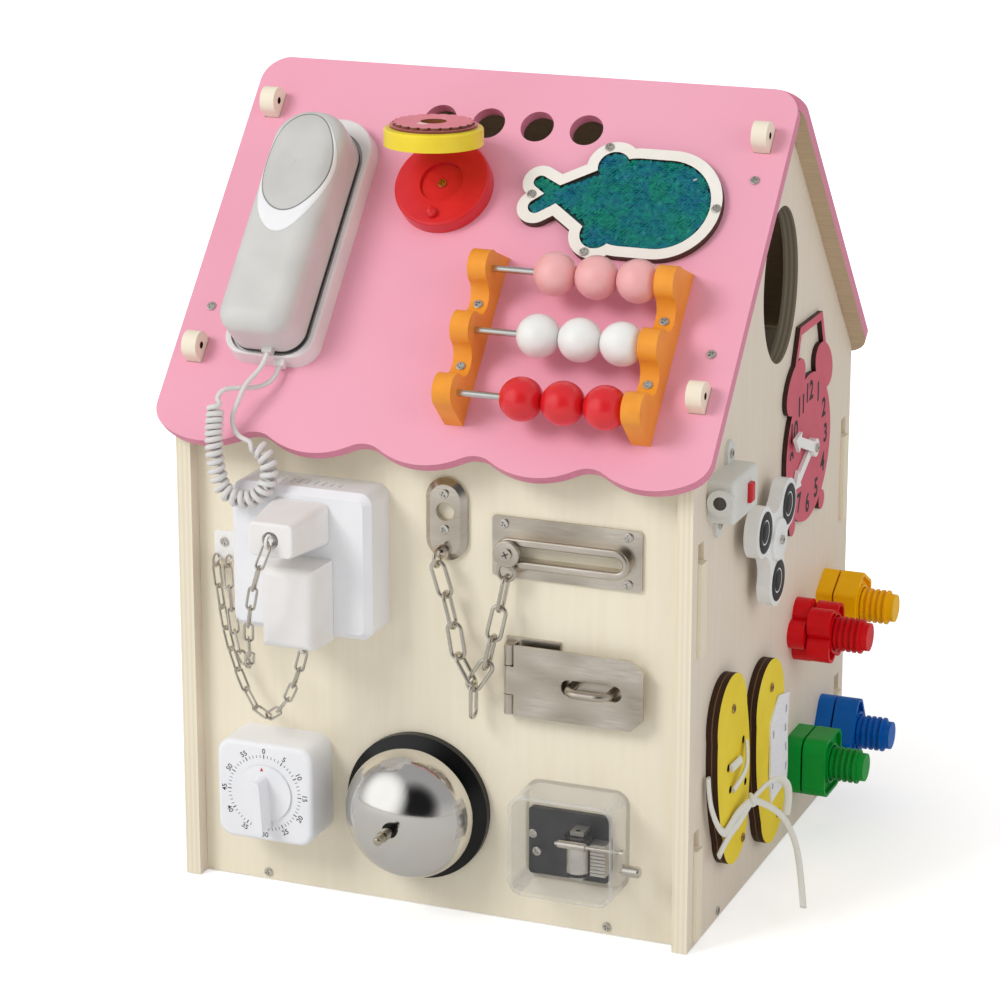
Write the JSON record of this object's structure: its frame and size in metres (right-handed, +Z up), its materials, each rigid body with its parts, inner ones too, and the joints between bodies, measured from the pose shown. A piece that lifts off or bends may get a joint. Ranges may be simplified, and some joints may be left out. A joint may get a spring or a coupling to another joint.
{
  "type": "busy house",
  "caption": "Plywood activity house for a small child: gabled walls and a scalloped pink roof carry a telephone, abacus, plugs, latch, bell, clock, spinner, bolts and lacing to work.",
  "frame": {"origin": "centre of the footprint of the walls, on the surface the house stands on", "axes": "+Z up, -Y towards the front wall with the socket and the bell, +X towards the side wall with the bolts"},
  "size_m": [0.3739, 0.3815, 0.464],
  "materials": {
    "plywood": "clear varnish",
    "pink_paint": "painted pink on the outside",
    "plated_screws": "plated",
    "white_plastic": "smooth",
    "silver_plastic": "satin",
    "white_cord": "soft",
    "red_plastic": "glossy",
    "yellow_plastic": "glossy",
    "white_paint": "painted",
    "sequins": "shiny scales",
    "orange_paint": "painted",
    "pink_bead": "lacquered",
    "white_bead": "lacquered",
    "red_bead": "lacquered",
    "bright_metal": "polished",
    "steel": "zinc plated",
    "brass_plate": "plated",
    "black_metal": "gloss",
    "clear_plastic": "clear",
    "rose_paint": "painted",
    "black_plastic": "matte",
    "blue_plastic": "satin",
    "green_plastic": "satin",
    "gold_plastic": "satin",
    "bolt_plastic": "satin, one colour on each bolt",
    "sole_foam": "yellow face, dark layers",
    "lace_fabric": "woven",
    "strap_fabric": "smooth",
    "spinner_plastic": "glossy, black rings"
  },
  "bodies": {
    "house": {"left_wall": "plywood", "right_wall": "plywood", "front_wall": "plywood", "back_wall": "plywood", "floor_panel": "plywood", "front_roof": "pink_paint", "back_roof": "pink_paint", "screws_and_pins": "plated_screws", "phone_cradle": "white_plastic", "phone_handset_lead": "white_cord", "phone_coil_cord": "white_cord", "phone_base_lead": "white_cord", "compact_base": "red_plastic", "fish_frame": "white_paint", "fish_sequins": "sequins", "abacus_frame": "orange_paint", "socket_box": "white_plastic", "small_plug_chain": "steel", "large_plug_chain": "steel", "door_chain": "bright_metal", "door_chain_plates": "bright_metal", "hasp_base": "bright_metal", "timer_case": "white_plastic", "bell_base": "black_metal", "bell_dome": "bright_metal", "music_case": "clear_plastic", "music_movement": "steel", "clock_face": "rose_paint", "torch_case": "silver_plastic", "wall_bolts": "bolt_plastic", "shoe_soles": "sole_foam", "shoe_lace": "lace_fabric", "shoe_strap": "strap_fabric"},
    "handset": {"phone_handset": "silver_plastic"},
    "compact_lid": {"compact_lid": "yellow_plastic"},
    "small_plug": {"small_plug": "white_plastic"},
    "large_plug": {"large_plug": "white_plastic"},
    "slide_knob": {"slide_knob": "brass_plate"},
    "hasp_cover": {"hasp_cover": "bright_metal"},
    "timer_knob": {"timer_knob": "white_plastic"},
    "bell_plunger": {"bell_plunger": "bright_metal"},
    "music_crank": {"music_crank": "steel"},
    "music_cylinder": {"music_cylinder": "brass_plate"},
    "hour_hand": {"clock_hour_hand": "rose_paint"},
    "minute_hand": {"clock_minute_hand": "rose_paint"},
    "spinner": {"spinner": "spinner_plastic"},
    "torch_button": {"torch_button": "red_plastic"},
    "nut_yellow": {"nut_yellow": "gold_plastic"},
    "nut_red": {"nut_red": "red_plastic"},
    "nut_blue": {"nut_blue": "blue_plastic"},
    "nut_green": {"nut_green": "green_plastic"},
    "bead_pink_1": {"bead_pink_1": "pink_bead"},
    "bead_pink_2": {"bead_pink_2": "pink_bead"},
    "bead_pink_3": {"bead_pink_3": "pink_bead"},
    "bead_white_1": {"bead_white_1": "white_bead"},
    "bead_white_2": {"bead_white_2": "white_bead"},
    "bead_white_3": {"bead_white_3": "white_bead"},
    "bead_red_1": {"bead_red_1": "red_bead"},
    "bead_red_2": {"bead_red_2": "red_bead"},
    "bead_red_3": {"bead_red_3": "red_bead"}
  },
  "joints": [
    {"name": "handset_lift", "type": "slide", "parent": "house", "child": "handset", "axis": [0, -0.7536, 0.6574], "range_m": [0, 0.04], "deforming": ["phone_handset_lead"]},
    {"name": "compact_lid_hinge", "type": "hinge", "parent": "house", "child": "compact_lid", "pos_m": [-0.029, -0.04066, 0.43245], "axis": [1, 0, 0], "range_deg": [-60, 48]},
    {"name": "bead_pink_3_slide", "type": "slide", "parent": "house", "child": "bead_pink_3", "axis": [-1, 0, 0], "range_m": [0, 0.0084]},
    {"name": "bead_pink_2_slide", "type": "slide", "parent": "bead_pink_3", "child": "bead_pink_2", "axis": [-1, 0, 0], "range_m": [0, 0.0084]},
    {"name": "bead_pink_1_slide", "type": "slide", "parent": "bead_pink_2", "child": "bead_pink_1", "axis": [-1, 0, 0], "range_m": [0, 0.0084]},
    {"name": "bead_white_3_slide", "type": "slide", "parent": "house", "child": "bead_white_3", "axis": [-1, 0, 0], "range_m": [0, 0.0084]},
    {"name": "bead_white_2_slide", "type": "slide", "parent": "bead_white_3", "child": "bead_white_2", "axis": [-1, 0, 0], "range_m": [0, 0.0084]},
    {"name": "bead_white_1_slide", "type": "slide", "parent": "bead_white_2", "child": "bead_white_1", "axis": [-1, 0, 0], "range_m": [0, 0.0084]},
    {"name": "bead_red_3_slide", "type": "slide", "parent": "house", "child": "bead_red_3", "axis": [-1, 0, 0], "range_m": [0, 0.0084]},
    {"name": "bead_red_2_slide", "type": "slide", "parent": "bead_red_3", "child": "bead_red_2", "axis": [-1, 0, 0], "range_m": [0, 0.0084]},
    {"name": "bead_red_1_slide", "type": "slide", "parent": "bead_red_2", "child": "bead_red_1", "axis": [-1, 0, 0], "range_m": [0, 0.0084]},
    {"name": "small_plug_pull", "type": "slide", "parent": "house", "child": "small_plug", "axis": [0, -1, 0], "range_m": [0, 0.02], "deforming": ["small_plug_chain"]},
    {"name": "large_plug_pull", "type": "slide", "parent": "house", "child": "large_plug", "axis": [0, -1, 0], "range_m": [0, 0.02], "deforming": ["large_plug_chain"]},
    {"name": "knob_slide", "type": "slide", "parent": "house", "child": "slide_knob", "axis": [1, 0, 0], "range_m": [0, 0.06], "deforming": ["door_chain"]},
    {"name": "hasp_swing", "type": "hinge", "parent": "house", "child": "hasp_cover", "pos_m": [0.0477, -0.1475, 0.1476], "axis": [0, 0, -1], "range_deg": [0, 95]},
    {"name": "timer_turn", "type": "hinge", "parent": "house", "child": "timer_knob", "pos_m": [-0.0945, -0.1715, 0.0665], "axis": [0, 1, 0], "range_deg": [0, 330]},
    {"name": "bell_press", "type": "slide", "parent": "house", "child": "bell_plunger", "axis": [0, 1, 0], "range_m": [0, 0.004], "stiffness_N_per_m": 120, "springref_m": -0.002},
    {"name": "crank_turn", "type": "hinge", "parent": "house", "child": "music_crank", "pos_m": [0.092, -0.165, 0.0605], "axis": [1, 0, 0], "continuous": true},
    {"name": "drum_turn", "type": "hinge", "parent": "house", "child": "music_cylinder", "pos_m": [0.092, -0.1545, 0.049], "axis": [0, 0, 1], "continuous": true},
    {"name": "hour_hand_turn", "type": "hinge", "parent": "house", "child": "hour_hand", "pos_m": [0.162, 0.0537, 0.241], "axis": [-1, 0, 0], "continuous": true},
    {"name": "minute_hand_turn", "type": "hinge", "parent": "house", "child": "minute_hand", "pos_m": [0.164, 0.0537, 0.241], "axis": [-1, 0, 0], "continuous": true},
    {"name": "spinner_turn", "type": "hinge", "parent": "house", "child": "spinner", "pos_m": [0.166, -0.044, 0.2135], "axis": [1, 0, 0], "continuous": true},
    {"name": "torch_press", "type": "slide", "parent": "house", "child": "torch_button", "axis": [-1, 0, 0], "range_m": [0, 0.0015], "stiffness_N_per_m": 200, "springref_m": -0.001},
    {"name": "nut_yellow_travel", "type": "slide", "parent": "house", "child": "nut_yellow", "axis": [1, 0, 0], "range_m": [0, 0.034]},
    {"name": "nut_red_travel", "type": "slide", "parent": "house", "child": "nut_red", "axis": [1, 0, 0], "range_m": [0, 0.034]},
    {"name": "nut_blue_travel", "type": "slide", "parent": "house", "child": "nut_blue", "axis": [1, 0, 0], "range_m": [0, 0.034]},
    {"name": "nut_green_travel", "type": "slide", "parent": "house", "child": "nut_green", "axis": [1, 0, 0], "range_m": [0, 0.034]}
  ],
  "couplings": [
    {"joint": "drum_turn", "follows": "crank_turn", "ratio": 0.05}
  ]
}
